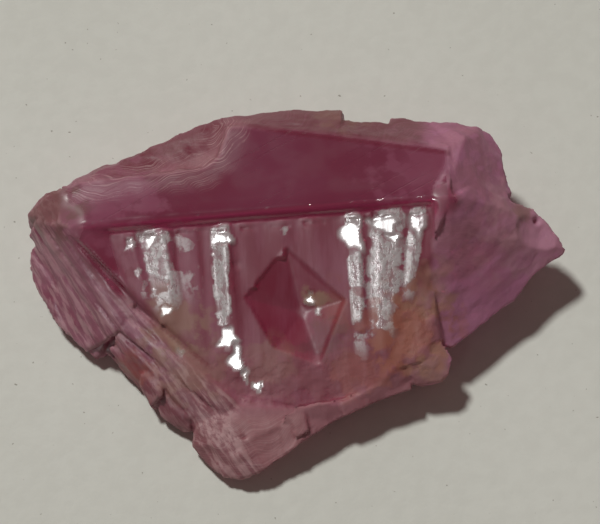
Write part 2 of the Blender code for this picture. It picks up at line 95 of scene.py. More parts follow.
# Lines on the stone: how far each one's mark reaches, and places along it
LINES = {
    "bevel": (0.75, [(-7.8, 0.1, 4.2), (-6.9, 0.1, 4.25), (5.4, 0.95, 5.1)]),
    "wine": (0.9, [(-7.7, -0.2, 3.9), (-6.5, -1.6, 3.3)]),
    "chalk": (1.3, [(-8.2, 2.0, 4.0), (-6.7, 2.2, 4.05), (-5.2, 2.5, 4.1), (-3.7, 2.5, 4.2),
                    (-3.2, 3.0, 4.15), (-3.0, 3.6, 4.0), (-2.75, 4.4, 3.8)]),
    "red_strip": (1.3, [(-7.1, 2.6, 3.4), (-5.6, 3.2, 3.5), (-4.3, 3.9, 3.5), (-3.3, 4.3, 3.5)]),
    "crack": (0.16, [(-1.8, 4.4, 3.9), (-0.3, 4.0, 4.1), (2.0, 3.6, 4.4), (3.9, 3.2, 4.6),
                     (5.6, 2.9, 4.8)]),
    "fold": (1.2, [(-7.1, -3.4, 1.1), (-6.2, -4.4, 1.0), (-5.6, -5.2, 0.9), (-4.7, -6.0, 0.8)]),
    "corner": (1.2, [(4.2, -2.6, 2.9), (4.6, -4.4, 1.9)]),
    "worn_corner": (0.5, [(5.35, 1.2, 5.1), (5.45, 0.5, 4.8)]),
    "worn_tip": (0.9, [(-9.4, 1.4, 4.0), (-9.2, 0.6, 4.1), (-8.6, 0.3, 4.2)])}
CHALK_ORIGIN = [(-9.5, 4.6, 4.0), (-6.0, 4.5, 4.0), (-4.6, 5.4, 4.0)]

# Directions in which ribs and streaks run
FRONT_FALL = (0.03, -0.885, -0.465)
FLANK_FALL = (0.60, -0.68, -0.42)
LOWER_FALL = (0.80, -0.55, -0.22)
BACK_RUN = (0.35, 0.20, -0.91)
SCRATCH_RUN = (0.85, 0.52, -0.06)
WING_RUN = (0.78, 0.60, 0.18)

# Where the fractures started: ripples in the frame, in millimetres, and shells on the drawing
WING_RIPPLES = (5.2, 2.6, 6.0)
LOBE_RIPPLES = (-2.6, -3.4, 3.5)
BACK_RIPPLES = (-0.5, 6.2, 5.5)
WING_SHELLS = (5.2, 2.6, 6.0)
LOBE_SHELLS = (-3.2, -4.2, 2.6)

FLOOR_HALF = 0.5              # metres
FLOOR_DROP = 0.00002          # metres from the stone's resting face down to the floor

CAMERA_ELEVATION = 70.0       # degrees above the floor
CAMERA_DISTANCE = 113.0       # millimetres
CAMERA_LENS = 180.0           # millimetres, as is the sensor's width
CAMERA_SENSOR = 36.0
CAMERA_CLIP = (0.01, 5.0)     # metres
CAMERA_TARGET = (0.08, 1.10, 2.2)

ROOM_COLOUR = (1.0, 0.70, 0.64, 1.0)
ROOM_STRENGTH = 0.10
KEY_COLOUR = (0.98, 1.0, 0.945)


# ---------------------------------------------------------------- shapes on the drawing
def plane_height(plane, points):
    """How high a plane is at each point's X and Y."""
    height, along_x, along_y = plane
    return height + along_x * points[:, 0] + along_y * points[:, 1]


def plane_normal(plane):
    normal = np.array((-plane[1], -plane[2], 1.0))
    return normal / np.linalg.norm(normal)


def smooth_step(none, full, values):
    """0 at one value and 1 at the other, with an eased slope between them."""
    part = np.clip((values - none) / (full - none), 0.0, 1.0)
    return part * part * (3 - 2 * part)


def inside_outline(points, outline, soft):
    """1 well inside a convex outline drawn clockwise, falling to 0 over its soft edge."""
    share = np.ones(len(points))
    for (x1, y1), (x2, y2) in zip(outline, outline[1:] + outline[:1]):
        length = math.hypot(x2 - x1, y2 - y1)
        reach = ((points[:, 1] - y1) * (x2 - x1) - (points[:, 0] - x1) * (y2 - y1)) / -length
        share *= smooth_step(-soft, soft, reach)
    return share


def line_distance(points, line):
    """How far each point is from a line through given places."""
    nearest = np.full(len(points), np.inf)
    for start, end in zip(line, line[1:]):
        start, way = np.array(start), np.array(end) - np.array(start)
        share = np.clip((points - start) @ way / (way @ way), 0.0, 1.0)
        nearest = np.minimum(nearest, np.linalg.norm(
            points - start - share[:, None] * way, axis=1))
    return nearest


def near_line(points, name, widened=1.0):
    """1 on one of the stone's lines, falling to 0 at its reach."""
    reach, line = LINES[name]
    reach *= widened
    return smooth_step(reach, 0.4 * reach, line_distance(points, line))


# ---------------------------------------------------------------- the fine skin
def crown_turn():
    """A turn that lays the crown level and its front edge along X, for even faces there."""
    up = Vector(plane_normal(CROWN_PLANE))
    along = Vector(CROWN_EDGE_RUN)
    along = (along - along.dot(up) * up).normalized()
    return Matrix((along, up.cross(along), up)).to_4x4()


def merged_solid():
    """The node's solid as one connected mesh, in millimetres."""
    mesh = bpy.data.objects[NODE].data.copy()
    bm = bmesh.new()
    bm.from_mesh(mesh)
    bmesh.ops.remove_doubles(bm, verts=bm.verts, dist=MERGE_DISTANCE)
    bmesh.ops.scale(bm, vec=(1 / MM,) * 3, verts=bm.verts)
    bm.to_mesh(mesh)
    bm.free()
    return mesh


def fine_skin():
    """The solid's surface as one even mesh of small faces."""
    mesh = merged_solid()
    mesh.transform(crown_turn())
    solid = bpy.data.objects.new("stone_solid", mesh)
    skin = bpy.data.objects.new("stone_skin", mesh.copy())
    for piece in (solid, skin):
        bpy.context.scene.collection.objects.link(piece)
    remesh = skin.modifiers.new("even faces", "REMESH")
    remesh.mode = "VOXEL"
    remesh.voxel_size = SKIN_GRAIN
    snap = skin.modifiers.new("back to the solid", "SHRINKWRAP")
    snap.target = solid
    depsgraph = bpy.context.evaluated_depsgraph_get()
    fine = bpy.data.meshes.new_from_object(skin.evaluated_get(depsgraph))
    for piece in (solid, skin):
        bpy.data.objects.remove(piece)
    fine.transform(crown_turn().inverted())
    return fine


def read_points(mesh):
    """The points' places on the drawing, and their normals."""
    points = np.empty(len(mesh.vertices) * 3)
    mesh.vertices.foreach_get("co", points)
    normals = np.empty(len(mesh.vertices) * 3, np.float32)
    mesh.vertex_normals.foreach_get("vector", normals)
    return points.reshape(-1, 3) - DRAWING_SHIFT, normals.reshape(-1, 3).astype(float)


def spread(mesh, values, rounds):
    """Average values over each point's neighbours, a few times."""
    edges = np.empty(len(mesh.edges) * 2, np.int64)
    mesh.edges.foreach_get("vertices", edges)
    first, second = edges.reshape(-1, 2).T
    count = np.bincount(edges, minlength=len(values)).astype(float)
    for _ in range(rounds):
        total = np.bincount(first, values[second], len(values))
        total += np.bincount(second, values[first], len(values))
        values = (values + total) / (1 + count)
    return values


def eased_places(mesh, points, rounds):
    """Where the points would be after a few rounds of averaging."""
    return np.stack([spread(mesh, points[:, axis], rounds) for axis in range(3)], axis=1)


# ---------------------------------------------------------------- marks on the skin
def growth_faces(mesh, points, normals):
    """Marks of the crown, the front face and the bevel between them, and the crown's border."""
    above_front = points[:, 2] - plane_height(FRONT_PLANE, points)
    above_crown = points[:, 2] - plane_height(CROWN_PLANE, points)
    crown = smooth_step(0.06, 0.02, np.abs(above_crown))
    crown *= smooth_step(0.95, 0.99, normals @ plane_normal(CROWN_PLANE))
    behind_bevel = 1 - near_line(points, "bevel", widened=2.0)
    border = spread(mesh, crown, EDGE_SOFTENING)
    border = smooth_step(0.1, 0.6, 4 * border * (1 - border)) * behind_bevel
    crown += (spread(mesh, crown, CROWN_FADE) - crown) * behind_bevel
    front = smooth_step(0.40, 0.25, np.abs(above_front))
    front *= smooth_step(0.1, 0.3, normals @ plane_normal(FRONT_PLANE))
    front *= inside_outline(points, FRONT_OUTLINE, FRONT_BORDER)
    bevel = near_line(points, "bevel")
    wine = np.maximum(bevel, near_line(points, "wine")) * (1 - crown) * (1 - front)
    # The bevel's steep wall, left in shade by the key lamp, is marked here for a painted fill of
    # bright rose red.
    painted_fill_wall = bevel * smooth_step(0.85, 0.55, normals[:, 2])
    return {"crown": crown, "front": front, "bevel": bevel, "wine": wine, "painted_fill_wall": painted_fill_wall}, border


def broken_parts(points, normals, broken):
    """Marks of the parts of the broken surface."""
    x, y, z = points.T
    flank = smooth_step(0.6, -0.2, x + 0.75 * y + 7.6) * smooth_step(4.4, 4.1, z)
    lower = smooth_step(-0.3, 0.4, x + 7.2) * smooth_step(-1.9, -2.6, x)
    lower *= smooth_step(-1.8, -2.6, y) * smooth_step(-6.5, -6.0, y)
    parts = {
        "flank": flank,
        "lower": lower * (1 - flank),
        "low_rim": smooth_step(-4.0, -5.2, y),
        "lobe": smooth_step(-6.0, -6.6, y) * smooth_step(0.4, 0.0, x),
        "wing": smooth_step(4.4, 5.2, x),
        "upper": smooth_step(2.6, 3.4, z) * smooth_step(-1.5, 0.5, y + 0.2 * x),
        "back": smooth_step(0.2, 0.5, normals[:, 1]) * smooth_step(0.85, 0.6, normals[:, 2]),
        "fold": near_line(points, "fold")}
    return {name: mark * broken for name, mark in parts.items()}


def lay_silk_bands(points, banded, relief):
    """Where the front face is milky, fading to each band's end, and the bands' leftward lean."""
    milk = np.zeros(len(points))
    for (top_x, top_y), (low_x, low_y), width, whiteness in SILK_BANDS:
        down = (points[:, 1] - top_y) / (low_y - top_y)
        across = points[:, 0] - (top_x + (low_x - top_x) * down)
        band = smooth_step(1.3, 0.6, np.abs(across) / (width / 2)) * banded
        band *= smooth_step(-0.05, 0.03, down) * smooth_step(1.1, 0.55, down)
        milk = np.maximum(milk, band * whiteness)
        relief = relief + band * BAND_LEAN * across
    return milk, relief


def lay_glint_facets(points, front, relief):
    """Turn spots of the front face into small flat facets that lean to the left."""
    glint = np.zeros(len(points))
    for number, ((x, y), half_width, half_length) in enumerate(GLINTS):
        across = (points[:, 0] - x) / half_width
        down = (points[:, 1] - y) / half_length
        turn = np.arctan2(down, across)
        off = np.hypot(across, down)
        off *= 1 + 0.25 * np.sin(3 * turn + number) + 0.15 * np.sin(5 * turn + 2 * number)
        facet = smooth_step(1.3, 0.9, off) * front
        glint = np.maximum(glint, facet)
        middle = np.average(relief, weights=facet + 1e-9)
        relief = relief + facet * (middle + GLINT_LEAN * (points[:, 0] - x) - relief)
    return glint, relief


def work_front(mesh, points, normals, front):
    """The front face's own marks, how far its points rise, and where it is bare of silk."""
    above_front = points[:, 2] - plane_height(FRONT_PLANE, points)
    window = inside_outline(points, WINDOW_OUTLINE, WINDOW_BORDER) * front
    banded = front * (1 - window)
    near = spread(mesh, banded, BAND_SOFTENING) + 1e-6
    soft = spread(mesh, above_front * banded, BAND_SOFTENING) / near
    relief = above_front + banded * (soft - above_front)
    relief += window * (WINDOW_DEPTH - 1) * np.minimum(above_front, 0.0)
    silk, relief = lay_silk_bands(points, banded, relief)
    glint, relief = lay_glint_facets(points, front, relief)
    corner = near_line(points, "corner") * smooth_step(-0.8, 0.2, normals[:, 2])
    foot = np.maximum(front * smooth_step(-3.4, -5.0, points[:, 1]), corner)
    marks = {"window": window, "glint": glint, "silk": silk * (1 - glint),
             "banded": banded * (1 - glint), "foot": foot * (1 - glint)}
    return marks, relief - above_front, (1 - silk) * (1 - glint)


def edge_hollow_and_dull_marks(mesh, points, normals, bevel, bare):
    """Marks of the skin's edges and hollows, and of what is rubbed dull."""
    bulge = points - eased_places(mesh, points, BULGE_ROUNDS)
    bulge = spread(mesh, np.einsum("ij,ij->i", bulge, normals) / SKIN_GRAIN, 1)
    edge = smooth_step(0.10, 0.45, bulge) * (1 - bevel)
    worn = np.maximum(near_line(points, "worn_corner"), near_line(points, "worn_tip"))
    return {"edge": edge, "hollow": smooth_step(0.06, 0.35, -bulge),
            "dull_edge": np.maximum(edge * bare, worn)}


def mark_regions(mesh):
    """Store where each kind of surface lies, as marks from 0 to 1, and shape the front face.

    One mark, the chalk's flow, is a distance in metres.
    """
    points, normals = read_points(mesh)
    marks, border = growth_faces(mesh, points, normals)
    broken = (1 - marks["crown"]) * (1 - marks["front"]) * (1 - marks["wine"])
    broken *= smooth_step(-0.8, -0.2, normals[:, 2])
    front_marks, rise, bare = work_front(mesh, points, normals, marks["front"])
    marks |= {"broken": broken} | broken_parts(points, normals, broken) | front_marks
    marks |= edge_hollow_and_dull_marks(mesh, points, normals, marks["bevel"], bare)
    marks["red_strip"] = near_line(points, "red_strip")
    marks["crack"] = near_line(points, "crack")
    marks["chalk"] = near_line(points, "chalk") * smooth_step(0.2, 0.6, normals[:, 2])
    marks["chalk_flow"] = line_distance(points, CHALK_ORIGIN) * MM
    for name, values in marks.items():
        layer = mesh.attributes.new(name, "FLOAT", "POINT")
        layer.data.foreach_set("value", values.astype(np.float32))
    eased = eased_places(mesh, points, EDGE_SOFTENING)
    points += np.maximum(marks["bevel"], border)[:, None] * (eased - points)
    points[:, 2] += rise
    mesh.vertices.foreach_set("co", (points + DRAWING_SHIFT).ravel())


# ---------------------------------------------------------------- node trees
def add_inputs(face, inputs):
    """Give a tree's interface its inputs, each with the value it has when it isn't set."""
    for label, kind, value in inputs:
        socket = face.new_socket(label, in_out="INPUT", socket_type="NodeSocket" + kind)
        socket.default_value = value


class NodeTree:
    """Short calls for building a node tree."""

    def __init__(self, tree):
        self.tree = tree

    def feed(self, source, socket):
        """Link another node's output to a socket, or give the socket a value."""
        if isinstance(source, bpy.types.NodeSocket):
            self.tree.links.new(source, socket)
        else:
            socket.default_value = source

    def node(self, kind, sources=(), **settings):
        made = self.tree.nodes.new(kind)
        for key, value in settings.items():
            setattr(made, key, value)
        for socket, source in sources:
            self.feed(source, made.inputs[socket])
        return made

    def math(self, operation, first, second=0.0, clamp=False):
        made = self.node("ShaderNodeMath", ((0, first), (1, second)), operation=operation,
                         use_clamp=clamp)
        return made.outputs[0]

    def plus(self, first, second, clamp=False):
        return self.math("ADD", first, second, clamp)

    def less(self, first, second, clamp=False):
        return self.math("SUBTRACT", first, second, clamp)

    def times(self, first, second):
        return self.math("MULTIPLY", first, second)

    def over(self, first, second):
        return self.math("DIVIDE", first, second)

    def vector(self, operation, first, second, output="Vector"):
        made = self.node("ShaderNodeVectorMath", ((0, first), (1, second)), operation=operation)
        return made.outputs[output]

    def scaled(self, vector, factor):
        made = self.node("ShaderNodeVectorMath", ((0, vector), ("Scale", factor)),
                         operation="SCALE")
        return made.outputs[0]

    def squeezed(self, place, run, stretch):
        """A place drawn in along a run, so that a pattern read there is stretched that way."""
        along = self.vector("DOT_PRODUCT", place, run, output="Value")
        shrink = self.less(self.over(1.0, stretch), 1.0)
        return self.vector("ADD", place, self.scaled(run, self.times(along, shrink)))


# ---------------------------------------------------------------- raised detail
RIB_HALF = 0.16               # how far from its middle the noise may be on a rib
RIB_GAIN = 6.0                # brings a rib's crest to about 1
SWELL_GAIN = 3.0              # brings the swell to about -1 to 1
RIPPLE_WANDER = 2.0           # how many ripples one may stray over
RIPPLE_WANDER_SIZE = 2.0      # millimetres


class SurfaceTree(NodeTree):
    """A geometry node tree that raises one region of a mesh, with named inputs."""

    def __init__(self, name, inputs):
        super().__init__(bpy.data.node_groups.new(name, "GeometryNodeTree"))
        face = self.tree.interface
        face.new_socket("Geometry", in_out="INPUT", socket_type="NodeSocketGeometry")
        add_inputs(face, [("Region", "String", ""), ("Seed", "Float", 1.0)] + inputs)
        face.new_socket("Finish", in_out="INPUT", socket_type="NodeSocketMaterial")
        face.new_socket("Geometry", in_out="OUTPUT", socket_type="NodeSocketGeometry")
        self.start = self.tree.nodes.new("NodeGroupInput").outputs
        self.position = self.node("GeometryNodeInputPosition").outputs[0]

    def noise(self, place, size, detail=2.0, roughness=0.5):
        """Noise of a size in millimetres, drawn by the tree's seed."""
        made = self.node("ShaderNodeTexNoise", (
            ("Vector", place), ("W", self.start["Seed"]), ("Detail", detail),
            ("Roughness", roughness), ("Scale", self.over(1.0, size))), noise_dimensions="4D")
        return made.outputs[0]

    def raised_by(self, height):
        """Move the region's points along their normals, then realize and set the finish."""
        region = self.node("GeometryNodeInputNamedAttribute", (("Name", self.start["Region"]),))
        normal = self.node("GeometryNodeInputNormal").outputs[0]
        offset = self.scaled(normal, self.times(height, region.outputs[0]))
        moved = self.node("GeometryNodeSetPosition", (
            ("Geometry", self.start["Geometry"]), ("Offset", offset)))
        real = self.node("GeometryNodeRealizeInstances", ((0, moved.outputs[0]),))
        dressed = self.node("GeometryNodeSetMaterial", (
            ("Geometry", real.outputs[0]), ("Material", self.start["Finish"])))
        end = self.tree.nodes.new("NodeGroupOutput")
        self.tree.links.new(dressed.outputs[0], end.inputs[0])
        return self.tree


def rib_tree():
    """Ribs that run one way over a region, as broken crystal and growth faces have."""
    tree = SurfaceTree("ribs", [
        ("Run", "Vector", (0, 0, 1)), ("Spacing", "Float", 0.3), ("Height", "Float", 0.05),
        ("Stretch", "Float", 12.0)])
    inputs = tree.start
    place = tree.squeezed(tree.position, inputs["Run"], inputs["Stretch"])
    centred = tree.less(tree.noise(place, inputs["Spacing"], roughness=0.6), 0.5)
    ridge = tree.less(RIB_HALF, tree.math("ABSOLUTE", centred))
    return tree.raised_by(tree.times(tree.times(ridge, RIB_GAIN), inputs["Height"]))


def swell_tree():
    """The uneven swell of a broken surface."""
    tree = SurfaceTree("swell", [
        ("Size", "Float", 1.0), ("Height", "Float", 0.05), ("Detail", "Float", 3.0)])
    inputs = tree.start
    noise = tree.noise(tree.position, inputs["Size"], inputs["Detail"], roughness=0.55)
    centred = tree.times(tree.less(noise, 0.5), SWELL_GAIN)
    return tree.raised_by(tree.times(centred, inputs["Height"]))


def ripple_tree():
    """Curved ripples round the point where a fracture started."""
    tree = SurfaceTree("ripples", [
        ("Centre", "Vector", (0, 0, 0)), ("Spacing", "Float", 0.6), ("Height", "Float", 0.02)])
    inputs = tree.start
    away = tree.vector("DISTANCE", tree.position, inputs["Centre"], output="Value")
    wander = tree.times(tree.noise(tree.position, RIPPLE_WANDER_SIZE), RIPPLE_WANDER)
    turns = tree.plus(tree.over(away, inputs["Spacing"]), wander)
    wave = tree.math("SINE", tree.times(turns, 2 * math.pi))
    return tree.raised_by(tree.times(wave, inputs["Height"]))


def pit_tree():
    """Scattered round etch pits."""
    tree = SurfaceTree("etch pits", [
        ("Spacing", "Float", 1.0), ("Radius", "Float", 0.3), ("Depth", "Float", 0.05),
        ("Share", "Float", 0.3)])
    inputs = tree.start
    cells = tree.node("ShaderNodeTexVoronoi", (
        ("Vector", tree.position), ("W", inputs["Seed"]),
        ("Scale", tree.over(1.0, inputs["Spacing"]))), voronoi_dimensions="4D")
    chance = tree.node("ShaderNodeSeparateXYZ", ((0, cells.outputs["Color"]),)).outputs[0]
    chosen = tree.math("LESS_THAN", chance, inputs["Share"])
    radius = tree.over(cells.outputs["Distance"], inputs["Radius"])
    bowl = tree.math("MAXIMUM", tree.less(1.0, tree.math("POWER", radius, 2.0)), 0.0)
    depth = tree.times(tree.times(bowl, chosen), inputs["Depth"])
    return tree.raised_by(tree.times(depth, -1.0))


def run_tree(piece, tree, finish, **values):
    """Add a tree to the piece as a modifier, with its inputs set by their identifiers."""
    step = piece.modifiers.new(tree.name, "NODES")
    step.node_group = tree
    values["Finish"] = finish
    for item in tree.interface.items_tree:
        if item.in_out == "INPUT" and item.name in values:
            step[item.identifier] = values[item.name]


def raise_detail(skin, finish):
    """Striations, fracture ribs, ripples, swell and pits over the whole skin."""
    ribs, swell, ripples, pits = rib_tree(), swell_tree(), ripple_tree(), pit_tree()
    run_tree(skin, swell, finish, Region="broken", Size=1.7, Height=0.07, Detail=4.0, Seed=2.0)
    run_tree(skin, swell, finish, Region="edge", Size=0.6, Height=0.07, Detail=2.0, Seed=5.0)
    run_tree(skin, ribs, finish, Region="banded", Run=FRONT_FALL, Spacing=0.75, Height=0.010,
             Stretch=25.0, Seed=3.0)
    run_tree(skin, swell, finish, Region="silk", Size=0.24, Height=0.016, Detail=2.0, Seed=12.0)
    run_tree(skin, swell, finish, Region="foot", Size=0.7, Height=0.050, Detail=4.0, Seed=15.0)
    run_tree(skin, swell, finish, Region="upper", Size=0.6, Height=0.028, Detail=4.0, Seed=16.0)
    for region, run, seed in (("flank", FLANK_FALL, 8.0), ("lower", LOWER_FALL, 6.0)):
        run_tree(skin, ribs, finish, Region=region, Run=run, Spacing=0.60, Height=0.060,
                 Stretch=14.0, Seed=seed)
        run_tree(skin, ribs, finish, Region=region, Run=run, Spacing=0.28, Height=0.026,
                 Stretch=16.0, Seed=seed + 0.5)
    run_tree(skin, ripples, finish, Region="wing", Centre=WING_RIPPLES, Spacing=0.8,
             Height=0.008, Seed=4.0)
    run_tree(skin, ripples, finish, Region="lobe", Centre=LOBE_RIPPLES, Spacing=0.5,
             Height=0.008, Seed=7.0)
    run_tree(skin, ripples, finish, Region="back", Centre=BACK_RIPPLES, Spacing=0.9,
             Height=0.022, Seed=17.0)
    run_tree(skin, ribs, finish, Region="back", Run=BACK_RUN, Spacing=0.5, Height=0.020,
             Stretch=8.0, Seed=18.0)
    run_tree(skin, pits, finish, Region="broken", Spacing=1.0, Radius=0.32, Depth=0.05,
             Share=0.22, Seed=9.0)
    run_tree(skin, pits, finish, Region="banded", Spacing=0.8, Radius=0.35, Depth=0.05,
             Share=0.15, Seed=1.0)


def detailed_mesh(finish):
    """The marked skin with its detail raised, as a plain mesh in millimetres."""
    mesh = fine_skin()
    mark_regions(mesh)
    skin = bpy.data.objects.new("skin", mesh)
    bpy.context.scene.collection.objects.link(skin)
    raise_detail(skin, finish)
    depsgraph = bpy.context.evaluated_depsgraph_get()
    detailed = bpy.data.meshes.new_from_object(skin.evaluated_get(depsgraph))
    bpy.data.objects.remove(skin)
    return detailed


def make_stone(finish):
    """The stone's visible piece, in place of its solid, with nothing under the resting face."""
    mesh = detailed_mesh(finish)
    bm = bmesh.new()
    bm.from_mesh(mesh)
    for vert in bm.verts:
        vert.co.z = max(vert.co.z, 0.0)
    bmesh.ops.scale(bm, vec=(MM,) * 3, verts=bm.verts)
    bm.to_mesh(mesh)
    bm.free()
    mesh.shade_smooth()
    mesh.name = "rough_sapphire"
    mesh.materials.clear()
    mesh.materials.append(finish)
    stone = bpy.data.objects.new("rough_sapphire", mesh)
    bpy.context.scene.collection.objects.link(stone)
    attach(stone, "root")
    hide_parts(NODE)


# ---------------------------------------------------------------- shader groups
SEED_STEP = 0.137             # metres that a pattern moves by for each 1 in its seed


class ShaderTree(NodeTree):
    """A material's tree, or a shader node group's tree."""

    def __init__(self, tree):
        super().__init__(tree)
        self.regions = {}

    def mix(self, factor, first, second):
        made = self.node("ShaderNodeMix", data_type="RGBA")
        for index, source in ((0, factor), (6, first), (7, second)):
            self.feed(source, made.inputs[index])
        return made.outputs[2]

    def laid_over(self, colour, layers):
        """A colour with tints laid over it one after another, each by its own mask."""
        for mask, tint in layers:
            colour = self.mix(mask, colour, tint)
        return colour

    def ramp(self, value, low, high, to_low=0.0, to_high=1.0):
        made = self.node("ShaderNodeMapRange", (
            ("Value", value), ("From Min", low), ("From Max", high), ("To Min", to_low),
            ("To Max", to_high)), interpolation_type="SMOOTHSTEP")
        return made.outputs[0]

    def between(self, mask, at_none, at_full):
        """One value where a mask is 0 and another where it is 1."""
        return self.ramp(mask, 0.0, 1.0, at_none, at_full)

    def region(self, name):
        """One of the marks on the stone's points."""
        if name not in self.regions:
            marked = self.node("ShaderNodeAttribute", attribute_name=name)
            self.regions[name] = marked.outputs["Fac"]
        return self.regions[name]

    def part(self, name, share):
        """A share of one of the marks."""
        return self.times(self.region(name), share)

    def own_place(self):
        return self.node("ShaderNodeTexCoord").outputs["Object"]

    def shifted(self, seed):
        """The stone's own coordinates, moved far off along the diagonal by a seed."""
        return self.vector("ADD", self.own_place(), self.times(seed, SEED_STEP))

    def away(self, centre):
        """The distance from a place."""
        return self.vector("DISTANCE", self.own_place(), centre, output="Value")

    def placed(self, group, **values):
        """The outputs of a group, put into this tree with its named inputs fed."""
        made = self.node("ShaderNodeGroup", node_tree=group)
        for name, source in values.items():
            self.feed(source, made.inputs[name])
        return made.outputs


def shader_group(name, inputs, outputs):
    """A new shader node group: its tree, and its inputs and outputs as seen from inside."""
    group = bpy.data.node_groups.new(name, "ShaderNodeTree")
    add_inputs(group.interface, inputs)
    for label in outputs:
        group.interface.new_socket(label, in_out="OUTPUT", socket_type="NodeSocketFloat")
    start = group.nodes.new("NodeGroupInput").outputs
    end = group.nodes.new("NodeGroupOutput").inputs
    return ShaderTree(group), start, end


def patch_group():
    """Soft patches of a size in metres, sharpened between two levels."""
    nodes, start, end = shader_group(
        "soft patches",
        [("Size", "Float", 0.002), ("From", "Float", 0.4), ("To", "Float", 0.6),
         ("Seed", "Float", 0.0), ("Detail", "Float", 4.0)],
        ["Mask"])
    noise = nodes.node("ShaderNodeTexNoise", (
        ("Vector", nodes.shifted(start["Seed"])), ("Detail", start["Detail"]),
        ("Scale", nodes.over(1.0, start["Size"]))))
    nodes.feed(nodes.ramp(noise.outputs[0], start["From"], start["To"]), end["Mask"])
    return nodes.tree


def streak_group():
    """Long thin streaks along a direction, for silk, striations and scratches."""
    nodes, start, end = shader_group(
        "streaks",
        [("Run", "Vector", (0, 1, 0)), ("Width", "Float", 0.0003), ("Stretch", "Float", 20.0),
         ("From", "Float", 0.4), ("To", "Float", 0.6), ("Seed", "Float", 0.0)],
        ["Mask", "Height"])
    place = nodes.squeezed(nodes.shifted(start["Seed"]), start["Run"], start["Stretch"])
    noise = nodes.node("ShaderNodeTexNoise", (
        ("Vector", place), ("Detail", 3.0), ("Roughness", 0.6),
        ("Scale", nodes.over(1.0, start["Width"]))))
    nodes.feed(nodes.ramp(noise.outputs[0], start["From"], start["To"]), end["Mask"])
    nodes.feed(noise.outputs[0], end["Height"])
    return nodes.tree


def contour_group():
    """Lines at uneven steps of a distance, bent as on shell-shaped fractures."""
    nodes, start, end = shader_group(
        "contour lines",
        [("Away", "Float", 0.0), ("Width", "Float", 0.0004), ("Bend", "Float", 0.0),
         ("From", "Float", 0.4), ("To", "Float", 0.6)],
        ["Mask", "Height"])
    turns = nodes.plus(nodes.over(start["Away"], start["Width"]), start["Bend"])
    noise = nodes.node("ShaderNodeTexNoise", (("W", turns), ("Detail", 3.0), ("Roughness", 0.6)),
                       noise_dimensions="1D")
    nodes.feed(nodes.ramp(noise.outputs[0], start["From"], start["To"]), end["Mask"])
    nodes.feed(noise.outputs[0], end["Height"])
    return nodes.tree


def zone_group():
    """A soft round zone about a place, with a ragged border."""
    nodes, start, end = shader_group(
        "ragged zone",
        [("Centre", "Vector", (0, 0, 0)), ("Reach", "Float", 0.002), ("Ragged", "Float", 0.0)],
        ["Mask"])
    share = nodes.over(nodes.away(start["Centre"]), start["Reach"])
    nodes.feed(nodes.ramp(nodes.plus(share, start["Ragged"]), 1.0, 0.35), end["Mask"])
    return nodes.tree


# ---------------------------------------------------------------- the stone's finish
def linear(red, green, blue):
    """A colour given as 0 to 255 screen values, as scene-linear RGBA."""
    def one(value):
        value /= 255
        return value / 12.92 if value <= 0.04045 else ((value + 0.055) / 1.055) ** 2.4
    return (one(red), one(green), one(blue), 1.0)


WINE = linear(151, 67, 97)
ROSE_BROWN = linear(190, 122, 124)
DEEP_RED = linear(140, 32, 64)
CLARET = linear(172, 66, 100)
PAINTED_FILL_ROSE_RED = linear(205, 62, 118)
# A bright rose red painted on the bevel's shaded wall as fill light
WINDOW_RED = linear(184, 42, 84)
DARK_ROSE = linear(110, 50, 54)
ORCHID = linear(236, 150, 204)
MAUVE = linear(224, 142, 176)
PALE_PINK = linear(236, 190, 194)
# Near-white: partly painted glare on the silk, and wholly painted highlight on the glints
FROST_AND_GLARE = linear(250, 243, 247)
ORANGE = linear(214, 124, 86)
OCHRE = linear(206, 164, 132)
UMBER = linear(166, 118, 100)
RUST = linear(190, 84, 72)

REFRACTION = 1.77                       # corundum's index
CLEARNESS = 0.42                        # share of the light that goes into the stone
BODY_COLOUR = (0.86, 0.38, 0.56, 1.0)
BODY_DENSITY = 220.0                    # per metre, how strongly the body tints light
STONE_BUMP = (0.35, 0.00006)            # strength, and height in metres

# Stains: middle on the drawing, reach in metres, tint, share
STAINS = [
    ((-8.0, 1.2, 4.3), 0.0038, MAUVE, 0.30), ((5.0, 2.2, 4.9), 0.0028, MAUVE, 0.22),
    ((9.0, 0.6, 3.2), 0.0030, PALE_PINK, 0.30), ((4.3, -3.3, 2.4), 0.0021, ORANGE, 0.74),
    ((5.1, -4.5, 1.7), 0.0012, OCHRE, 0.5), ((4.9, -2.0, 3.2), 0.0014, OCHRE, 0.45),
    ((1.4, -2.7, 3.0), 0.0013, RUST, 0.60), ((0.5, -2.4, 3.1), 0.0008, OCHRE, 0.7),
    ((-1.1, -4.5, 1.9), 0.0013, OCHRE, 0.28), ((-4.7, -3.0, 2.6), 0.0016, OCHRE, 0.55),
    ((2.2, -4.6, 1.9), 0.0014, ORANGE, 0.35), ((-4.0, -4.6, 1.9), 0.0016, OCHRE, 0.35),
    ((-6.5, -4.5, 1.0), 0.0014, RUST, 0.6), ((-9.3, 0.9, 3.9), 0.0015, UMBER, 0.55),
    ((-9.2, 1.0, 3.9), 0.0018, DARK_ROSE, 0.40), ((0.9, -3.5, 2.6), 0.0012, DARK_ROSE, 0.40),
    ((1.5, 5.2, 3.8), 0.0015, UMBER, 0.45), ((8.3, 1.3, 3.0), 0.0008, UMBER, 0.6)]


def in_frame(place):
    """A place on the stone's drawing, in millimetres, as a place in the frame."""
    return tuple((Vector(place) + Vector(DRAWING_SHIFT)) * MM)


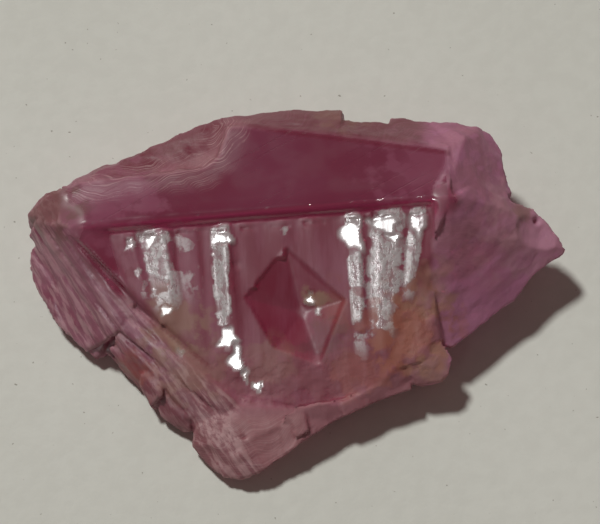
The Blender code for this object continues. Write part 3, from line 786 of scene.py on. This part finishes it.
def stone_patterns(nodes, groups):
    """The patterns that the stone's colour, roughness and relief share."""
    def patches(**values):
        return nodes.placed(groups.patches, **values)["Mask"]

    def streaks(**values):
        return nodes.placed(groups.streaks, **values)

    bend = nodes.times(patches(Size=0.0022, From=0.0, To=1.0, Seed=2.0, Detail=2.0), 4.0)

    def contours(away, **values):
        return nodes.placed(groups.contours, Away=away, Bend=bend, **values)

    flank, lower, low_rim = (nodes.region(name) for name in ("flank", "lower", "low_rim"))
    return SimpleNamespace(
        cloud=patches(Size=0.0032, From=0.25, To=0.75, Seed=1.0, Detail=2.0),
        mottle=patches(Size=0.0011, From=0.30, To=0.70, Seed=3.0, Detail=6.0),
        crumbs=patches(Size=0.00060, From=0.36, To=0.60, Seed=13.0, Detail=4.0),
        grit=patches(Size=0.00025, From=0.2, To=0.8, Seed=9.0, Detail=4.0),
        dots=patches(Size=0.00013, From=0.40, To=0.52, Seed=14.0, Detail=2.0),
        dashes=streaks(Run=FRONT_FALL, Width=0.00022, Stretch=2.4, From=0.34, To=0.52, Seed=6.0),
        grain=streaks(Run=FLANK_FALL, Width=0.00020, Stretch=18.0, From=0.44, To=0.62, Seed=2.0),
        threads=streaks(Run=FRONT_FALL, Width=0.0006, Stretch=6.0, From=0.42, To=0.66, Seed=11.0),
        feathers=streaks(Run=WING_RUN, Width=0.00045, Stretch=5.0, From=0.46, To=0.66, Seed=5.0),
        scratches=streaks(Run=SCRATCH_RUN, Width=0.00013, Stretch=70.0, From=0.60, To=0.74,
                          Seed=8.0),
        shells=contours(nodes.away(in_frame(WING_SHELLS)), Width=0.0005, From=0.42, To=0.66),
        lobe_shells=contours(nodes.away(in_frame(LOBE_SHELLS)), Width=0.00028, From=0.42,
                             To=0.66),
        chalk_lines=contours(nodes.region("chalk_flow"), Width=0.00034, From=0.46, To=0.72),
        ribbed=nodes.plus(flank, lower, clamp=True),
        low_side=nodes.plus(lower, low_rim, clamp=True))


def add_silk(nodes, looks):
    """Add the silk's ragged bands, the flecks in them and how white they are; the white is partly
    milky silk and partly painted glare.
    """
    ragged = nodes.plus(nodes.region("silk"), nodes.between(looks.crumbs, -0.35, 0.20))
    looks.silk = nodes.ramp(ragged, 0.20, 0.75)
    looks.flecks = nodes.times(looks.dashes["Mask"], nodes.between(looks.dots, 0.50, 1.0))
    looks.frost = nodes.times(looks.silk, nodes.between(looks.flecks, 0.50, 1.0))


def broken_layers(nodes, looks):
    """Mauve and rose-brown broken faces, a lighter wing whose orchid is partly painted glow, and
    the lines and feathers on them.
    """
    part, between, times = nodes.part, nodes.between, nodes.times
    pale = part("broken", between(looks.mottle, 0.60, 1.0))
    pale = times(pale, between(nodes.region("upper"), 1.0, 0.15))
    pale = times(pale, between(nodes.region("low_rim"), 1.0, 0.25))
    lighter = nodes.plus(nodes.region("chalk"), nodes.region("wing"), clamp=True)
    bright_lines = times(looks.grain["Mask"], looks.ribbed)
    dark_lines = nodes.less(looks.ribbed, bright_lines)
    return [
        (pale, MAUVE),
        # Lighter orchid on the wing: partly the stone's own colour, partly a painted glow where
        # the wing faces away from the key lamp
        (part("wing", 0.54), ORCHID),
        (part("upper", between(looks.mottle, 0.25, 0.50)), ROSE_BROWN),
        (times(part("upper", 0.42), nodes.less(1.0, lighter)), DARK_ROSE),
        (times(looks.low_side, 0.50), ROSE_BROWN),
        (part("lobe", 0.40), ROSE_BROWN),
        (times(dark_lines, 0.45), DEEP_RED),
        (times(bright_lines, 0.55), PALE_PINK),
        (part("lobe", times(looks.lobe_shells["Mask"], 0.22)), PALE_PINK),
        (part("wing", times(looks.shells["Mask"], 0.08)), PALE_PINK),
        (part("wing", between(looks.feathers["Mask"], 0.05, 0.40)), ORCHID),
        (part("upper", times(looks.shells["Mask"], 0.12)), MAUVE)]


def line_layers(nodes, looks):
    """The wine-red bevel, the bevel's steep wall painted a brighter rose red as fill light where
    the key lamp leaves it in shade, the red strip, the chalky lines and the fold.
    """
    part, between = nodes.part, nodes.between
    chalky = nodes.times(between(looks.crumbs, 0.15, 0.75),
                         between(looks.chalk_lines["Mask"], 0.05, 0.85))
    return [
        (part("wine", 1.0), CLARET),
        # Painted fill light: the bevel's shaded wall made bright rose red
        (part("painted_fill_wall", 0.9), PAINTED_FILL_ROSE_RED),
        (part("red_strip", between(looks.mottle, 1.0, 0.2)), DEEP_RED),
        (part("chalk", chalky), PALE_PINK),
        (part("fold", between(looks.mottle, 0.6, 0.2)), DEEP_RED)]


def front_layers(nodes, looks):
    """The front face: misty between its bands, frosted along them with painted glare in the
    frost, clear in its window, and painted white on its glint facets as highlights.
    """
    part = nodes.part
    return [
        (part("front", 0.55), WINDOW_RED),
        (part("front", nodes.times(looks.threads["Mask"], 0.28)), MAUVE),
        (part("foot", nodes.between(looks.crumbs, 0.0, 0.30)), ROSE_BROWN),
        # Partly milky silk, partly a painted glare highlight on the bands
        (looks.frost, FROST_AND_GLARE),
        (part("window", 0.38), WINDOW_RED),
        # Painted highlight: the glint facets made near-white
        (part("glint", 0.9), FROST_AND_GLARE)]


def stain_layers(nodes, looks, zone):
    """Iron brown at the right corner and in the window, chalky brown at the left."""
    border = nodes.times(nodes.less(looks.crumbs, 0.5), 0.5)
    layers = []
    for centre, reach, tint, share in STAINS:
        spot = nodes.placed(zone, Centre=in_frame(centre), Reach=reach, Ragged=border)
        layers.append((nodes.times(spot["Mask"], share), tint))
    return layers


def crack_and_painted_light_layers(nodes):
    """The crack, a painted pale pink highlight on the broken faces' convex edges, and painted
    deep red shade in the hollows.
    """
    return [
        (nodes.part("crack", 0.6), DEEP_RED),
        # Painted highlight along the convex edges of the broken faces
        (nodes.times(nodes.region("edge"), nodes.part("broken", 0.38)), PALE_PINK),
        # Painted shade: the hollows darkened with deep red
        (nodes.part("hollow", 0.35), DEEP_RED)]


def stone_roughness(nodes, looks):
    """Glossy crown and bevel, satin front face, dull broken faces and worn edges."""
    part, between, times = nodes.part, nodes.between, nodes.times
    clear_front = nodes.less(nodes.region("front"), looks.silk, clamp=True)
    clear_front = nodes.less(clear_front, nodes.region("glint"), clamp=True)
    rough = between(looks.mottle, 0.16, 0.23)
    for added in (
            part("broken", between(looks.mottle, 0.20, 0.30)),
            times(clear_front, between(nodes.region("window"), 0.36, 0.18)),
            times(looks.frost, 0.12), times(looks.low_side, 0.20), part("dull_edge", 0.60),
            part("hollow", 0.30), part("wing", 0.20), part("foot", 0.10), part("chalk", 0.12)):
        rough = nodes.plus(rough, added)
    return nodes.less(rough, part("bevel", 0.11), clamp=True)


def stone_relief(nodes, looks):
    """The height of what is too fine for the mesh."""
    height = nodes.times(looks.grain["Height"], looks.ribbed)
    for region, pattern, share in (
            ("front", looks.threads["Height"], 0.4), ("broken", looks.grit, 0.5),
            ("foot", looks.crumbs, 0.8), ("chalk", looks.chalk_lines["Height"], 0.3),
            ("wing", looks.shells["Height"], 0.2), ("lobe", looks.lobe_shells["Height"], 0.3)):
        height = nodes.plus(height, nodes.part(region, nodes.times(pattern, share)))
    height = nodes.plus(height, nodes.times(nodes.times(looks.flecks, looks.silk), 0.25))
    return nodes.less(height, nodes.part("crown", looks.scratches["Mask"]))


def new_material(name):
    """A material, its tree, and its shader's inputs."""
    material = bpy.data.materials.new(name)
    material.use_nodes = True
    nodes = ShaderTree(material.node_tree)
    return material, nodes, material.node_tree.nodes["Principled BSDF"].inputs


def add_bump(nodes, shader, height, strength, distance):
    """Bend a shader's normals by a height."""
    bump = nodes.node("ShaderNodeBump", (
        ("Height", height), ("Strength", strength), ("Distance", distance)))
    nodes.feed(bump.outputs[0], shader["Normal"])


def sapphire_finish(groups):
    """Translucent corundum: wine red within, mauve and chalky where it is broken."""
    material, nodes, shader = new_material("rough sapphire")
    looks = stone_patterns(nodes, groups)
    add_silk(nodes, looks)
    colour = nodes.mix(nodes.between(looks.cloud, 0.0, 0.35), WINE, DEEP_RED)
    for layers in (broken_layers(nodes, looks), line_layers(nodes, looks),
                   front_layers(nodes, looks), stain_layers(nodes, looks, groups.zone),
                   crack_and_painted_light_layers(nodes)):
        colour = nodes.laid_over(colour, layers)
    nodes.feed(colour, shader["Base Color"])
    nodes.feed(stone_roughness(nodes, looks), shader["Roughness"])
    add_bump(nodes, shader, stone_relief(nodes, looks), *STONE_BUMP)
    shader["Metallic"].default_value = 0.0
    shader["IOR"].default_value = REFRACTION
    shader["Transmission Weight"].default_value = CLEARNESS
    body = nodes.node("ShaderNodeVolumeAbsorption", (
        ("Color", BODY_COLOUR), ("Density", BODY_DENSITY)))
    nodes.feed(body.outputs[0], nodes.tree.nodes["Material Output"].inputs["Volume"])
    return material


# ---------------------------------------------------------------- floor, light and camera
PAPER_GREY = (0.72, 0.725, 0.68, 1.0)
PAPER_PALE = (0.77, 0.775, 0.735, 1.0)
DUST = (0.36, 0.34, 0.30, 1.0)
FIBRE = (0.50, 0.49, 0.45, 1.0)
PAPER_ROUGHNESS = 0.8
PAPER_BUMP = (0.15, 0.00005)            # strength, and height in metres


def paper_finish(patches):
    """Pale paper with two soft tones, fibres and specks of dust."""
    material, nodes, shader = new_material("pale paper")
    tone = nodes.placed(patches, Size=0.03, From=0.3, To=0.7, Seed=1.0)["Mask"]
    dust = nodes.placed(patches, Size=0.00022, From=0.75, To=0.82, Seed=7.0, Detail=1.0)["Mask"]
    fibre = nodes.placed(patches, Size=0.0006, From=0.3, To=0.7, Seed=4.0, Detail=8.0)["Mask"]
    colour = nodes.mix(tone, PAPER_GREY, PAPER_PALE)
    colour = nodes.laid_over(colour, [(dust, DUST), (nodes.times(fibre, 0.10), FIBRE)])
    nodes.feed(colour, shader["Base Color"])
    add_bump(nodes, shader, fibre, *PAPER_BUMP)
    shader["Roughness"].default_value = PAPER_ROUGHNESS
    return material


def make_floor(finish):
    """The sheet of paper that the stone lies on."""
    bm = bmesh.new()
    bmesh.ops.create_grid(bm, x_segments=1, y_segments=1, size=FLOOR_HALF)
    bmesh.ops.translate(bm, vec=(0, 0, -FLOOR_DROP), verts=bm.verts)
    mesh = bpy.data.meshes.new("floor")
    bm.to_mesh(mesh)
    bm.free()
    mesh.materials.append(finish)
    floor = bpy.data.objects.new("floor", mesh)
    bpy.context.scene.collection.objects.link(floor)


def make_lamp(name, azimuth, elevation, distance, size, power, colour=(1, 1, 1)):
    """A round soft lamp that looks at the stone from a compass direction and a height."""
    data = bpy.data.lights.new(name, "AREA")
    data.shape = "DISK"
    data.size = size
    data.energy = power
    data.color = colour
    lamp = bpy.data.objects.new(name, data)
    turn, rise = math.radians(azimuth), math.radians(elevation)
    level = math.cos(rise)
    way = Vector((math.sin(turn) * level, math.cos(turn) * level, math.sin(rise)))
    lamp.location = way * distance
    lamp.rotation_euler = way.to_track_quat("Z", "Y").to_euler()
    bpy.context.scene.collection.objects.link(lamp)
    return lamp


def light_scene():
    """A dim warm room, a key lamp behind on the left, and a small lamp for the glints."""
    world = bpy.data.worlds.new("soft room")
    bpy.context.scene.world = world
    world.use_nodes = True
    room = world.node_tree.nodes["Background"].inputs
    room["Color"].default_value = ROOM_COLOUR
    room["Strength"].default_value = ROOM_STRENGTH
    make_lamp("key", azimuth=-40.0, elevation=56.0, distance=0.80, size=0.11, power=4.1,
              colour=KEY_COLOUR)
    gleam = make_lamp("gleam", azimuth=-149.0, elevation=50.5, distance=0.35, size=0.035,
                      power=0.26)
    gleam.visible_diffuse = False
    gleam.visible_transmission = False
    bpy.context.scene.view_settings.view_transform = "Standard"


def place_camera():
    """A long lens in front of the stone and high above it."""
    data = bpy.data.cameras.new("camera")
    data.lens = CAMERA_LENS
    data.sensor_width = CAMERA_SENSOR
    data.clip_start, data.clip_end = CAMERA_CLIP
    camera = bpy.data.objects.new("camera", data)
    rise = math.radians(CAMERA_ELEVATION)
    way = Vector((0.0, -math.cos(rise), math.sin(rise)))
    camera.location = (Vector(CAMERA_TARGET) + way * CAMERA_DISTANCE) * MM
    camera.rotation_euler = way.to_track_quat("Z", "Y").to_euler()
    bpy.context.scene.collection.objects.link(camera)
    bpy.context.scene.camera = camera


GROUPS = SimpleNamespace(patches=patch_group(), streaks=streak_group(),
                         contours=contour_group(), zone=zone_group())
make_floor(paper_finish(GROUPS.patches))
make_stone(sapphire_finish(GROUPS))
light_scene()
place_camera()
